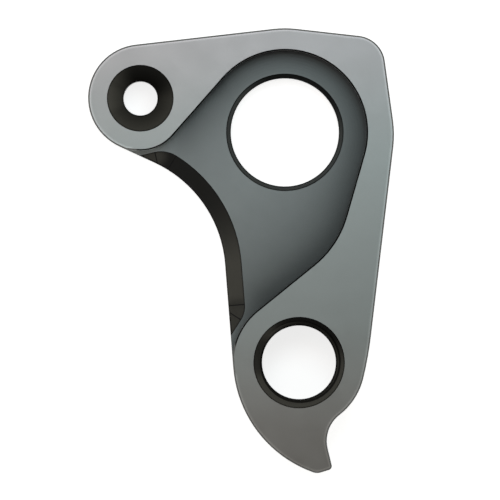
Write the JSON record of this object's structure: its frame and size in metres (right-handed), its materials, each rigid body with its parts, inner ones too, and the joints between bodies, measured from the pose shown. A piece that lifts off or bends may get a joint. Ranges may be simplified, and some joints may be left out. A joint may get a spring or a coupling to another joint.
{
  "type": "bicycle derailleur hanger",
  "caption": "Machined plate that bolts to a bicycle frame round the through axle and carries the rear derailleur, with a hub pocket, a tapped eye and an angle stop tab.",
  "frame": {"origin": "on the axis of the axle hole, on the flat back that lies against the frame", "axes": "+Z along the axle towards the wheel, out of the pocket side; +Y towards the top of the hanger, away from the derailleur; +X towards the rear of the bicycle"},
  "size_m": [0.0371, 0.054, 0.008],
  "materials": {
    "satin_aluminium": "satin grey, fine bead-blasted and anodised, with darker machined pocket"
  },
  "bodies": {
    "root": {"hanger": "satin_aluminium"}
  },
  "joints": []
}
